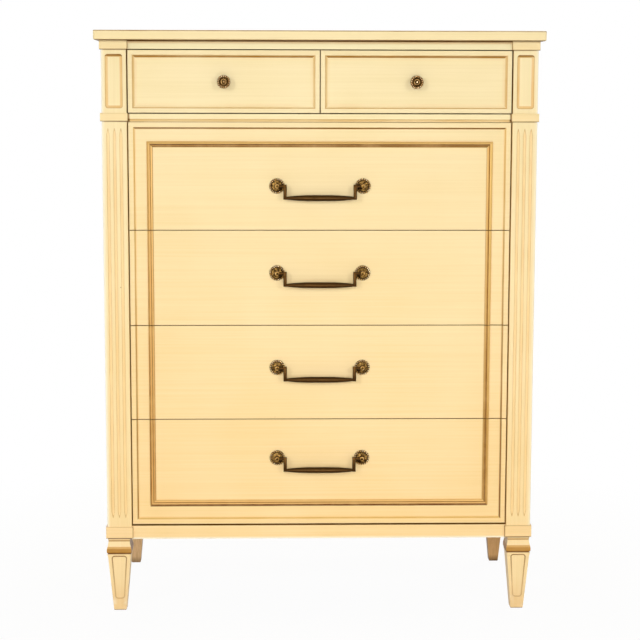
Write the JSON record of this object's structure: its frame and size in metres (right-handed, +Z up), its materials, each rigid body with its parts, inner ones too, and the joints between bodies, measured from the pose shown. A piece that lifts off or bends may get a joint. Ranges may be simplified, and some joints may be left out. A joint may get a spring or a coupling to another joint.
{
  "type": "highboy",
  "caption": "Tall chest of drawers on square tapered legs: small drawers over wide drawers between fluted pilasters, cream lacquer, gilt bead moulding, drop pulls.",
  "frame": {"origin": "on the floor below the centre of the top slab", "axes": "+Z up, +X to the viewer's right, drawers open towards -Y"},
  "size_m": [0.97, 0.483, 1.283],
  "materials": {
    "cream_lacquer": "satin cream lacquer brushed over wood, brown glaze in the grooves",
    "front_lacquer": "satin cream lacquer with fine cross streaks, brown glaze in the step",
    "gilt_moulding": "dull gold paint over wood, darker at its edges",
    "drawer_wood": "clear sealed light hardwood",
    "frame_wood": "unfinished planed softwood",
    "hardboard": "brown hardboard, smooth face",
    "antique_brass": "antiqued cast brass, dark in the hollows",
    "dark_bronze": "dark antiqued brass, worn lighter along the grip"
  },
  "bodies": {
    "carcass": {"top_slab": "cream_lacquer", "frieze_rail": "cream_lacquer", "mid_rail": "cream_lacquer", "base_rail": "cream_lacquer", "back_panel": "hardboard", "side_panel_left": "cream_lacquer", "side_panel_right": "cream_lacquer", "front_post_left": "cream_lacquer", "front_post_right": "cream_lacquer", "capital_blocks": "cream_lacquer", "collar_blocks": "cream_lacquer", "plinth_blocks": "cream_lacquer", "front_leg_left": "cream_lacquer", "front_leg_right": "cream_lacquer", "rear_leg_left": "cream_lacquer", "rear_leg_right": "cream_lacquer", "corner_blocks": "frame_wood", "centre_partition": "frame_wood", "frame_rails": "frame_wood", "drawer_runners": "frame_wood", "guide_strips": "frame_wood", "dust_panels": "hardboard"},
    "small_drawer_left": {"small_drawer_left_front": "front_lacquer", "small_drawer_left_sides": "drawer_wood", "small_drawer_left_back": "drawer_wood", "small_drawer_left_bottom": "drawer_wood", "small_drawer_left_knob": "antique_brass"},
    "small_drawer_right": {"small_drawer_right_front": "front_lacquer", "small_drawer_right_sides": "drawer_wood", "small_drawer_right_back": "drawer_wood", "small_drawer_right_bottom": "drawer_wood", "small_drawer_right_knob": "antique_brass"},
    "drawer_1": {"drawer_1_front": "front_lacquer", "drawer_1_sides": "drawer_wood", "drawer_1_back": "drawer_wood", "drawer_1_bottom": "drawer_wood", "drawer_1_moulding": "gilt_moulding", "drawer_1_pull_posts": "antique_brass"},
    "bail_1": {"drawer_1_bail": "dark_bronze"},
    "drawer_2": {"drawer_2_front": "front_lacquer", "drawer_2_sides": "drawer_wood", "drawer_2_back": "drawer_wood", "drawer_2_bottom": "drawer_wood", "drawer_2_moulding": "gilt_moulding", "drawer_2_pull_posts": "antique_brass"},
    "bail_2": {"drawer_2_bail": "dark_bronze"},
    "drawer_3": {"drawer_3_front": "front_lacquer", "drawer_3_sides": "drawer_wood", "drawer_3_back": "drawer_wood", "drawer_3_bottom": "drawer_wood", "drawer_3_moulding": "gilt_moulding", "drawer_3_pull_posts": "antique_brass"},
    "bail_3": {"drawer_3_bail": "dark_bronze"},
    "drawer_4": {"drawer_4_front": "front_lacquer", "drawer_4_sides": "drawer_wood", "drawer_4_back": "drawer_wood", "drawer_4_bottom": "drawer_wood", "drawer_4_moulding": "gilt_moulding", "drawer_4_pull_posts": "antique_brass"},
    "bail_4": {"drawer_4_bail": "dark_bronze"}
  },
  "joints": [
    {"name": "small_drawer_left_slide", "type": "slide", "parent": "carcass", "child": "small_drawer_left", "axis": [0, -1, 0], "range_m": [0, 0.3]},
    {"name": "small_drawer_right_slide", "type": "slide", "parent": "carcass", "child": "small_drawer_right", "axis": [0, -1, 0], "range_m": [0, 0.3]},
    {"name": "drawer_1_slide", "type": "slide", "parent": "carcass", "child": "drawer_1", "axis": [0, -1, 0], "range_m": [0, 0.3]},
    {"name": "bail_1_swing", "type": "hinge", "parent": "drawer_1", "child": "bail_1", "pos_m": [0, -0.2285, 0.95025], "axis": [-1, 0, 0], "range_deg": [-15, 95]},
    {"name": "drawer_2_slide", "type": "slide", "parent": "carcass", "child": "drawer_2", "axis": [0, -1, 0], "range_m": [0, 0.3]},
    {"name": "bail_2_swing", "type": "hinge", "parent": "drawer_2", "child": "bail_2", "pos_m": [0, -0.2285, 0.76035], "axis": [-1, 0, 0], "range_deg": [-15, 95]},
    {"name": "drawer_3_slide", "type": "slide", "parent": "carcass", "child": "drawer_3", "axis": [0, -1, 0], "range_m": [0, 0.3]},
    {"name": "bail_3_swing", "type": "hinge", "parent": "drawer_3", "child": "bail_3", "pos_m": [0, -0.2285, 0.55125], "axis": [-1, 0, 0], "range_deg": [-15, 95]},
    {"name": "drawer_4_slide", "type": "slide", "parent": "carcass", "child": "drawer_4", "axis": [0, -1, 0], "range_m": [0, 0.3]},
    {"name": "bail_4_swing", "type": "hinge", "parent": "drawer_4", "child": "bail_4", "pos_m": [0, -0.2285, 0.34865], "axis": [-1, 0, 0], "range_deg": [-15, 95]}
  ]
}
